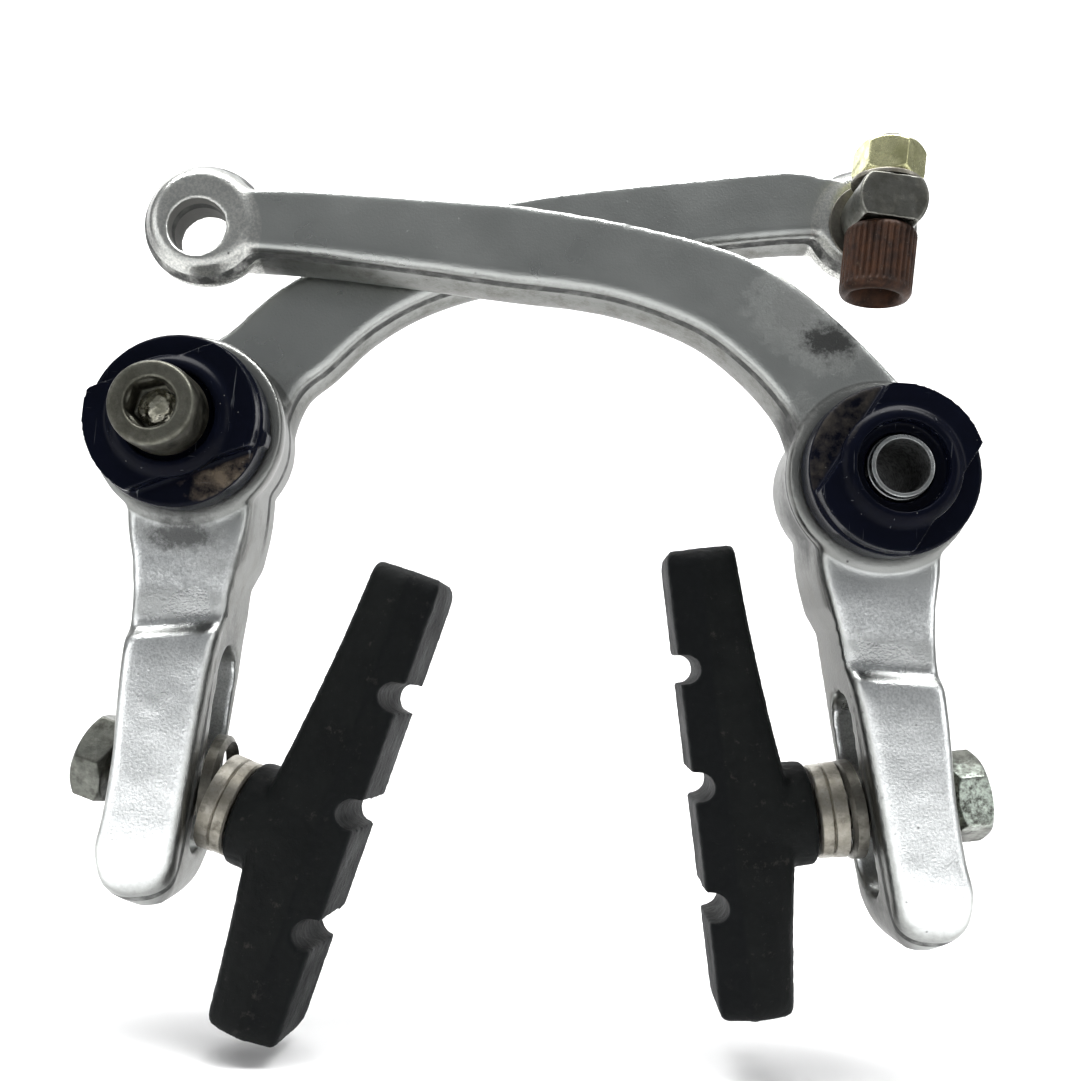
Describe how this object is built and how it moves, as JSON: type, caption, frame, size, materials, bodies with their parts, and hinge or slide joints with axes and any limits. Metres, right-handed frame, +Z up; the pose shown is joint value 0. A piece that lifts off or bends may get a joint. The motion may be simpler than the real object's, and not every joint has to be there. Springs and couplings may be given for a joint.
{
  "type": "bicycle rim brake caliper",
  "caption": "Crossing-arm rim brake caliper: two pivoted arms with sliding, tilting pads, spring caps and a cable anchor with adjuster.",
  "frame": {"origin": "midway between the two pivot axes, on the plane where the pivot sleeves seat on the frame (y = 0)", "axes": "+Y back towards the frame, along both pivot axes; +Z up towards the cable; +X to the right seen from the front"},
  "size_m": [0.1148, 0.0303, 0.1181],
  "materials": {
    "polished_alloy": "polished and satin forged, worn",
    "sleeve_steel": "turned",
    "cap_plastic": "gloss, scratched",
    "spring_steel": "oiled wire",
    "bolt_zinc": "dull zinc",
    "pad_rubber": "moulded, matt",
    "stud_zinc": "dull zinc",
    "dark_washer": "grimy",
    "collar_silver": "worn zinc",
    "nut_zinc": "dark zinc",
    "anchor_steel": "worn bright",
    "tube_metal": "dark",
    "barrel_rust": "rusty",
    "lock_nut_zinc": "yellow zinc"
  },
  "bodies": {
    "pivot_hardware": {"right_pivot_sleeve": "sleeve_steel", "left_pivot_sleeve": "sleeve_steel", "left_pivot_bolt": "bolt_zinc"},
    "right_cap_body": {"right_spring_cap": "cap_plastic"},
    "left_cap_body": {"left_spring_cap": "cap_plastic"},
    "right_arm_body": {"right_arm": "polished_alloy", "right_return_spring": "spring_steel"},
    "left_arm_body": {"left_arm": "polished_alloy", "left_return_spring": "spring_steel"},
    "right_pad_slider": {"right_pad_inner_domed_washer": "dark_washer", "right_pad_outer_domed_washer": "dark_washer"},
    "right_pad_tilter": {"right_pad_collar_washer": "collar_silver"},
    "right_pad_body": {"right_brake_pad": "pad_rubber", "right_pad_stud": "stud_zinc", "right_pad_nut": "nut_zinc"},
    "left_pad_slider": {"left_pad_inner_domed_washer": "dark_washer", "left_pad_outer_domed_washer": "dark_washer"},
    "left_pad_tilter": {"left_pad_collar_washer": "collar_silver"},
    "left_pad_body": {"left_brake_pad": "pad_rubber", "left_pad_stud": "stud_zinc", "left_pad_nut": "nut_zinc"},
    "anchor_body": {"anchor_post": "anchor_steel", "anchor_washer": "dark_washer", "anchor_retaining_ring": "dark_washer", "adjuster_washer": "dark_washer"},
    "adjuster_barrel_body": {"adjuster_barrel": "barrel_rust"},
    "adjuster_tube_body": {"adjuster_tube": "tube_metal"},
    "adjuster_lock_nut_body": {"adjuster_lock_nut": "lock_nut_zinc"}
  },
  "joints": [
    {"name": "right_arm_swing", "type": "hinge", "parent": "pivot_hardware", "child": "right_arm_body", "pos_m": [0.043, 0, 0], "axis": [0, 1, 0], "range_deg": [-3, 9], "stiffness_Nm_per_rad": 2, "springref_deg": 0.25, "deforming": ["right_return_spring"]},
    {"name": "left_arm_swing", "type": "hinge", "parent": "pivot_hardware", "child": "left_arm_body", "pos_m": [-0.043, 0, 0], "axis": [0, -1, 0], "range_deg": [-3, 10], "stiffness_Nm_per_rad": 2, "springref_deg": 0.53, "deforming": ["left_return_spring"]},
    {"name": "right_cap_turn", "type": "hinge", "parent": "pivot_hardware", "child": "right_cap_body", "pos_m": [0.043, 0, 0], "axis": [0, 1, 0], "range_deg": [-30, 30]},
    {"name": "left_cap_turn", "type": "hinge", "parent": "pivot_hardware", "child": "left_cap_body", "pos_m": [-0.043, 0, 0], "axis": [0, 1, 0], "range_deg": [-30, 30]},
    {"name": "right_pad_slide", "type": "slide", "parent": "right_arm_body", "child": "right_pad_slider", "axis": [-0.1805, 0, 0.9836], "range_m": [-0.007, 0.009]},
    {"name": "left_pad_slide", "type": "slide", "parent": "left_arm_body", "child": "left_pad_slider", "axis": [0.0471, 0, 0.9989], "range_m": [-0.0035, 0.012]},
    {"name": "right_pad_tilt", "type": "hinge", "parent": "right_pad_slider", "child": "right_pad_tilter", "pos_m": [0.04969, -0.0076, -0.04013], "axis": [0, 1, 0], "range_deg": [-8, 8]},
    {"name": "left_pad_tilt", "type": "hinge", "parent": "left_pad_slider", "child": "left_pad_tilter", "pos_m": [-0.04437, -0.0076, -0.04316], "axis": [0, 1, 0], "range_deg": [-14, 1]},
    {"name": "right_pad_twist", "type": "hinge", "parent": "right_pad_tilter", "child": "right_pad_body", "pos_m": [0.04782, -0.0075, -0.04045], "axis": [0.9841, -0.0523, 0.17], "range_deg": [-10, 10]},
    {"name": "left_pad_twist", "type": "hinge", "parent": "left_pad_tilter", "child": "left_pad_body", "pos_m": [-0.04256, -0.00785, -0.04366], "axis": [-0.9563, 0.1305, 0.2616], "range_deg": [-10, 10]},
    {"name": "anchor_swivel", "type": "hinge", "parent": "left_arm_body", "child": "anchor_body", "pos_m": [0.0429, 0, 0.03563], "axis": [0, 1, 0], "range_deg": [-8, 8]},
    {"name": "barrel_turn", "type": "hinge", "parent": "anchor_body", "child": "adjuster_barrel_body", "pos_m": [0.0429, -0.01325, 0.03563], "axis": [0.075, 0, 0.9972], "range_deg": [-540, 540]},
    {"name": "tube_slide", "type": "slide", "parent": "anchor_body", "child": "adjuster_tube_body", "axis": [0.075, 0, 0.9972], "range_m": [-0.0012, 0.0012]},
    {"name": "lock_nut_turn", "type": "hinge", "parent": "anchor_body", "child": "adjuster_lock_nut_body", "pos_m": [0.0429, -0.01325, 0.03563], "axis": [0.075, 0, 0.9972], "range_deg": [-540, 540]}
  ],
  "couplings": [
    {"joint": "tube_slide", "follows": "barrel_turn", "m_per_rad": -0.00012732},
    {"joint": "lock_nut_turn", "follows": "barrel_turn", "ratio": 1}
  ]
}
